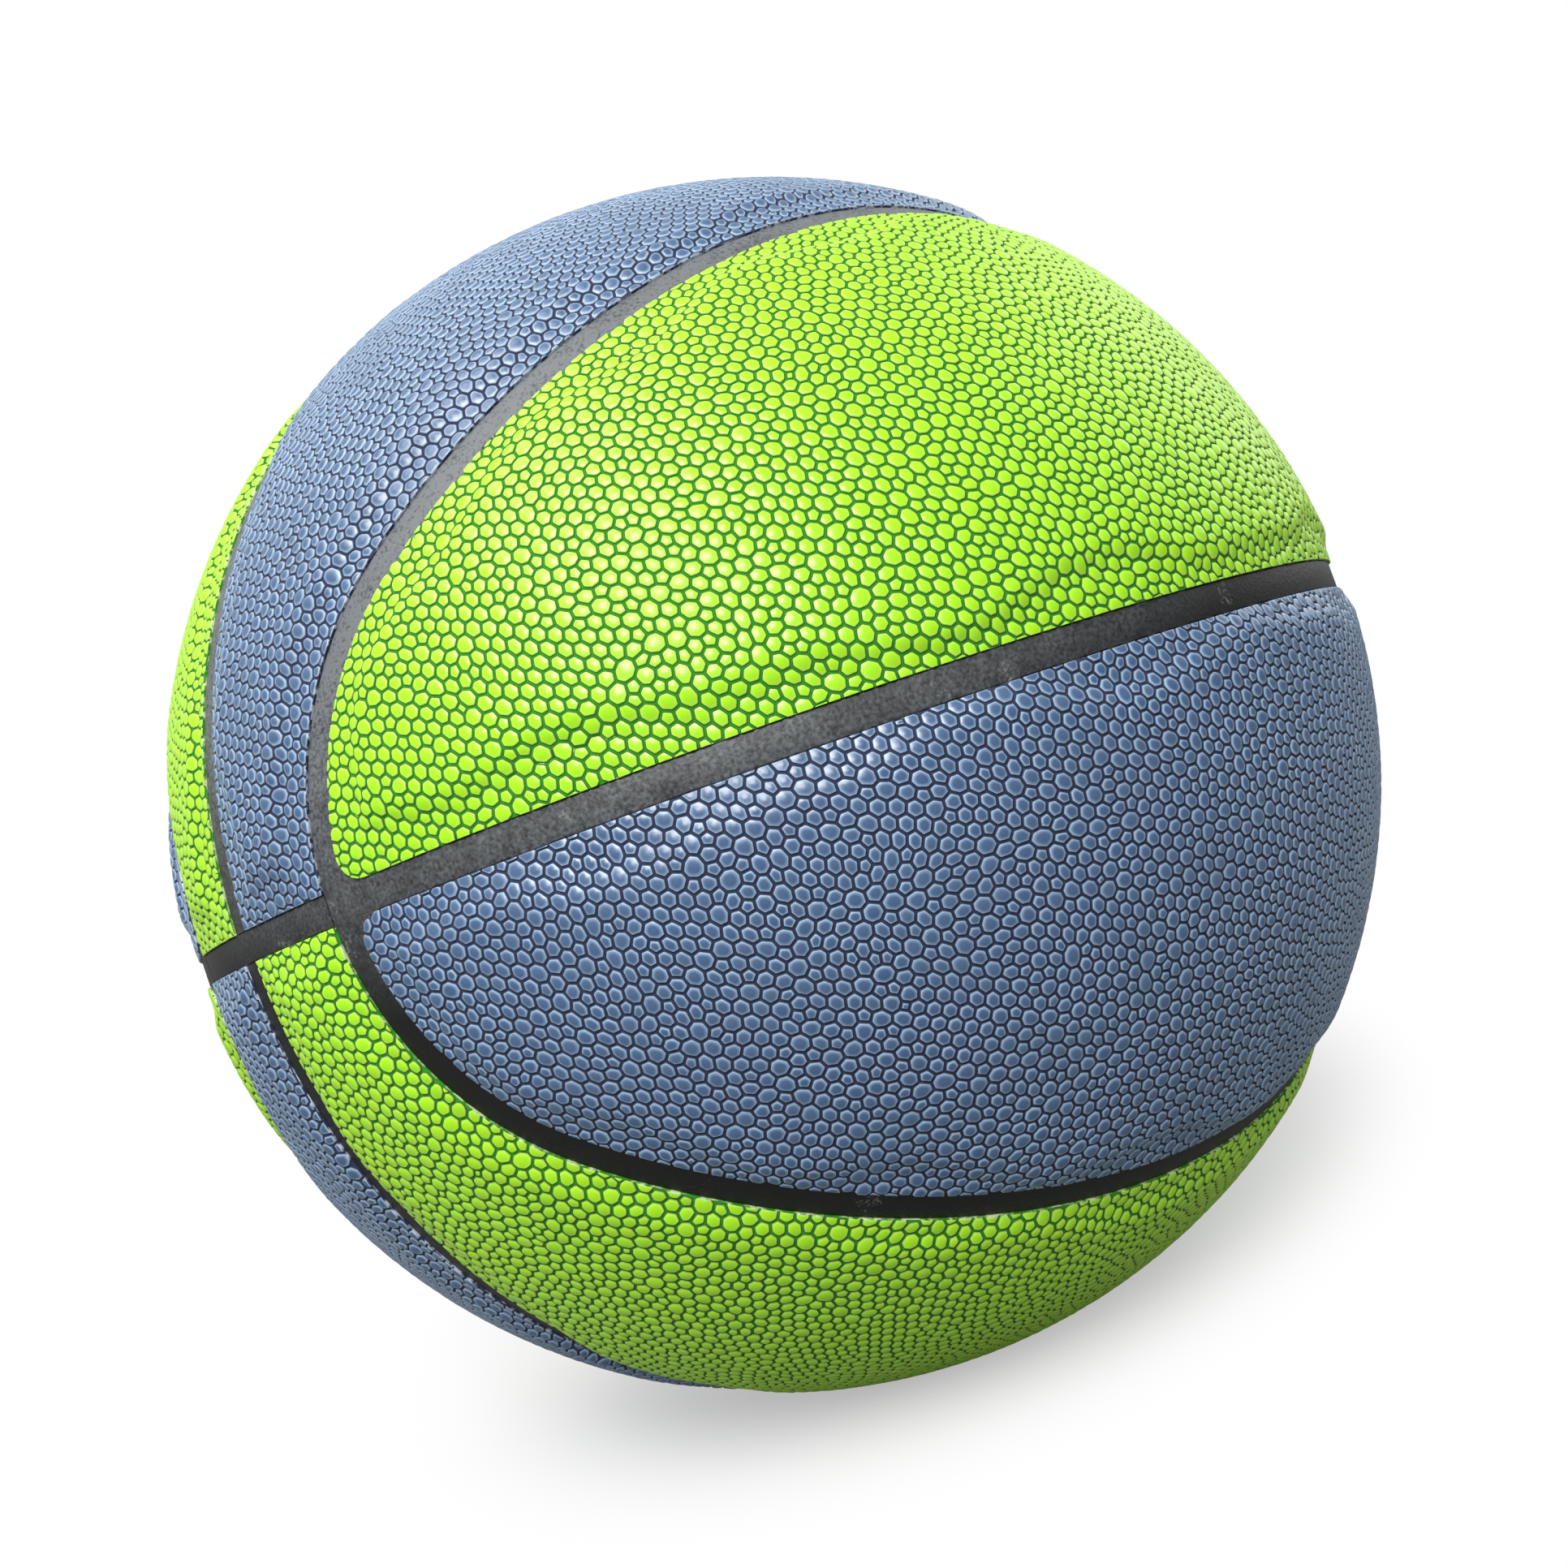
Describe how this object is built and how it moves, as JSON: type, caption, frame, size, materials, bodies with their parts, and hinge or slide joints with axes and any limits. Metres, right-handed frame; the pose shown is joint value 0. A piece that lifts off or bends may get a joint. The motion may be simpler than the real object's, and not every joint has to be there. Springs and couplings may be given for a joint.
{
  "type": "basketball",
  "caption": "Full-size laminated basketball in lime green and slate blue pebbled leather, with black rubber strips in its seams and an air valve.",
  "frame": {"origin": "centre of the ball", "axes": "+X along the axis of the two seam loops, towards the end panels that the picture shows; +Z square to the middle seam, towards the green end panel above it; the middle seam lies in z = 0 and the cross seam in x = 0"},
  "size_m": [0.241, 0.24, 0.241],
  "materials": {
    "green_leather": "satin",
    "blue_leather": "satin",
    "foam": "matte",
    "strip_rubber": "matte",
    "carcass_rubber": "matte",
    "winding_thread": "matte",
    "bladder_rubber": "satin",
    "stem_rubber": "matte",
    "plug_rubber": "satin"
  },
  "bodies": {
    "root": {"panel_right_cap_upper": "green_leather", "panel_right_cap_lower": "blue_leather", "panel_right_band_upper": "blue_leather", "panel_right_band_lower": "green_leather", "panel_left_band_upper": "green_leather", "panel_left_band_lower": "blue_leather", "panel_left_cap_upper": "blue_leather", "panel_left_cap_lower": "green_leather", "foam_right_cap_upper": "foam", "foam_right_cap_lower": "foam", "foam_right_band_upper": "foam", "foam_right_band_lower": "foam", "foam_left_band_upper": "foam", "foam_left_band_lower": "foam", "foam_left_cap_upper": "foam", "foam_left_cap_lower": "foam", "strip_loop_right": "strip_rubber", "strip_loop_left": "strip_rubber", "strip_middle_right": "strip_rubber", "strip_middle_left": "strip_rubber", "strip_middle_front": "strip_rubber", "strip_middle_back": "strip_rubber", "strip_cross_upper": "strip_rubber", "strip_cross_lower": "strip_rubber", "carcass": "carcass_rubber", "winding": "winding_thread", "bladder": "bladder_rubber", "valve_stem": "stem_rubber", "valve_plug": "plug_rubber"}
  },
  "joints": []
}
